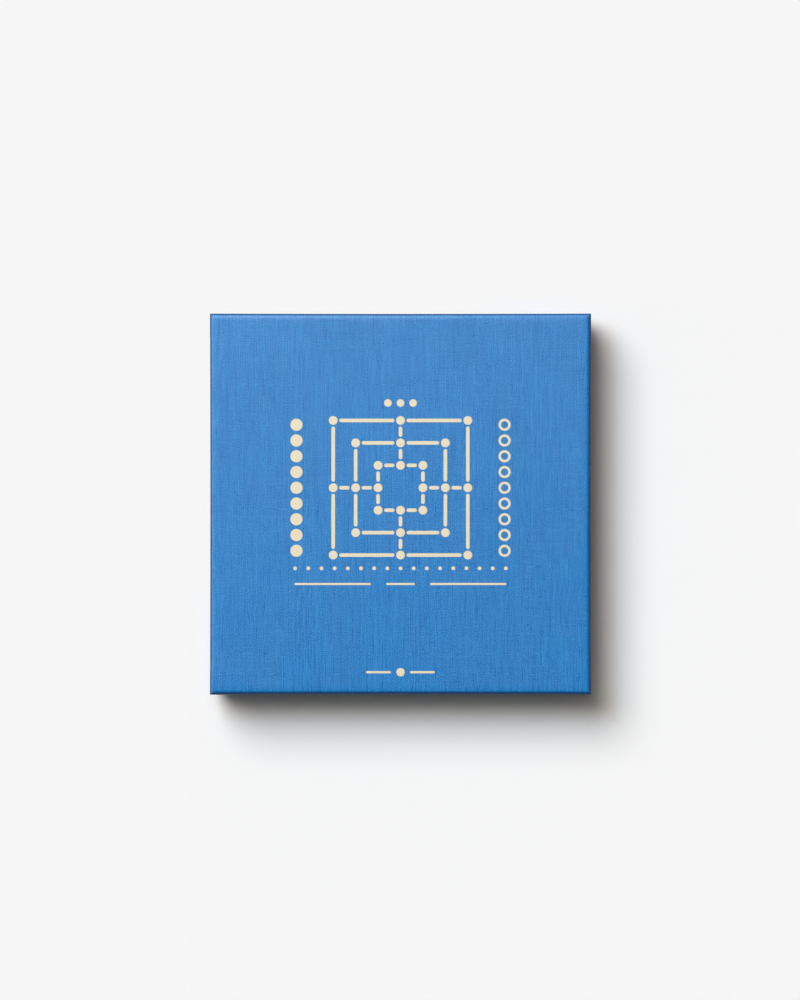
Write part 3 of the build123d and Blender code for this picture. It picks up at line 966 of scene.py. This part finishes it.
for name, (way, distance, radius, share) in softboxes.items():
    way = Vector(way).normalized()
    lamp = bpy.data.lights.new(name, "AREA")
    lamp.shape, lamp.size = "DISK", radius * 2
    strength = share * (distance ** 2 + radius ** 2) / way.z
    lamp.energy = strength * pi ** 2
    box = bpy.data.objects.new(name, lamp)
    box.location = studio["target"] + way * distance
    box.rotation_euler = way.to_track_quat("Z", "Y").to_euler()
    scene.collection.objects.link(box)
    box.visible_camera = False
    if name.endswith("Card"):
        box.visible_diffuse = False
    else:
        lamps.append((tuple(box.location), tuple(way), radius, strength * box.location.z))


def seenShare(tree, mirror):  # 1 for rays from the camera, and this much for reflected ones
    path = addNode(tree, "ShaderNodeLightPath").outputs
    mirrored = maths(tree, "MULTIPLY", path["Is Glossy Ray"], mirror)
    seen = maths(tree, "MAXIMUM", path["Is Camera Ray"], mirrored)
    return maths(tree, "MAXIMUM", seen, path["Is Transmission Ray"])


world = bpy.data.worlds.new("studioWorld")
scene.world = world
world.use_nodes = True
tree = world.node_tree
tree.nodes.clear()
direction = addNode(tree, "ShaderNodeTexCoord").outputs["Generated"]
height = split(tree, direction)["Z"]
# gloss shows the pale backdrop, the darker ceiling above it, and black flags on the shaded side
wall = remap(tree, height, *studio["ceiling"])
lampward = vectorMaths(tree, "DOT_PRODUCT", direction, studio["lampward"]).outputs["Value"]
flags = remap(tree, lampward, *studio["flagEdge"], studio["flags"])
wall = maths(tree, "MULTIPLY", wall, flags)
seen = seenShare(tree, wall)
strength = addNode(tree, "ShaderNodeMix", {"Factor": seen, "A": studio["fill"], "B": studio["backdrop"]})
back = addNode(tree, "ShaderNodeBackground", {"Color": (1, 1, 1, 1), "Strength": strength})
addNode(tree, "ShaderNodeOutputWorld", {"Surface": back})

material, tree = newMaterial("paleStudioFloor")
place = objectPlace(tree)
# evens out the lamps' fall-off over the floor, so that only the object's shadow shows
light = studio["fill"]
for lampPlace, way, radius, strength in lamps:
    toLamp = vectorMaths(tree, "SUBTRACT", lampPlace, place)
    squared = vectorMaths(tree, "DOT_PRODUCT", toLamp, toLamp).outputs["Value"]
    facing = vectorMaths(tree, "DOT_PRODUCT", toLamp, way).outputs["Value"]
    spread = maths(tree, "ADD", squared, radius ** 2)
    spread = maths(tree, "MULTIPLY", spread, squared)
    falloff = maths(tree, "DIVIDE", facing, spread)
    light = maths(tree, "MULTIPLY_ADD", falloff, strength, light)
even = maths(tree, "DIVIDE", studio["backdrop"], light)
# how far a place lies on the shaded side of the object, and on the lamps' side
side = split(tree, place)
back = split(tree, vectorMaths(tree, "MULTIPLY", place, (-1, -1, -1)))
shadeSide = maths(tree, "MAXIMUM", side["X"], back["Y"])
lampSide = maths(tree, "MAXIMUM", back["X"], side["Y"])
# takes back the blue light that the box's walls throw on the floor beside it
near = remap(tree, shadeSide, *studio["bounceShadeSide"], kind="SMOOTHSTEP")
within = remap(tree, lampSide, *studio["bounceLampSide"], kind="SMOOTHSTEP")
near = maths(tree, "MULTIPLY", near, within)
bounce = mixColours(tree, near, (1, 1, 1, 1), studio["bounce"])
evenColour = vectorMaths(tree, "SCALE", bounce, even)
lit = addNode(tree, "ShaderNodeBsdfDiffuse", {"Color": evenColour})
glow = addNode(tree, "ShaderNodeEmission", {"Color": (1, 1, 1, 1), "Strength": studio["backdrop"]})
span = vectorMaths(tree, "LENGTH", place).outputs["Value"]
far = remap(tree, span, *studio["plainFar"], kind="SMOOTHSTEP")
# near the object a reflection shows the real floor, and further off the plain background
seen = seenShare(tree, far)
# on the lamps' side of the object no shadow falls, and the floor stays plain there
clear = remap(tree, shadeSide, *studio["plainShadeSide"], kind="SMOOTHSTEP")
beyond = remap(tree, lampSide, *studio["plainLampSide"], kind="SMOOTHSTEP")
clear = maths(tree, "MAXIMUM", clear, beyond)
plainFloor = maths(tree, "MAXIMUM", far, clear)
background = addNode(tree, "ShaderNodeMixShader", {0: plainFloor, 1: lit, 2: glow})
plain = addNode(tree, "ShaderNodeBsdfDiffuse", {"Color": (0.5, 0.5, 0.5, 1)})
both = addNode(tree, "ShaderNodeMixShader", {0: seen, 1: plain, 2: background})
addNode(tree, "ShaderNodeOutputMaterial", {"Surface": both})
floorMesh = bpy.data.meshes.new("studioFloor")
edge = studio["floorHalf"]
corners = [(-edge, -edge), (edge, -edge), (edge, edge), (-edge, edge)]
floorMesh.from_pydata([(x, y, studio["floorLevel"]) for x, y in corners], [], [(0, 1, 2, 3)])
floor = newPiece("studioFloor", floorMesh, None, (), [material])
floor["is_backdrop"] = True

view = {"place": (-0.00028, 0.00218, 1.4927), "lens": 100, "sensor": 36}
cameraData = bpy.data.cameras.new("camera")
cameraData.lens, cameraData.sensor_width = view["lens"], view["sensor"]
camera = bpy.data.objects.new("camera", cameraData)
camera.location = view["place"]
scene.collection.objects.link(camera)
scene.camera = camera
print("studio lit")

low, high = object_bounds()
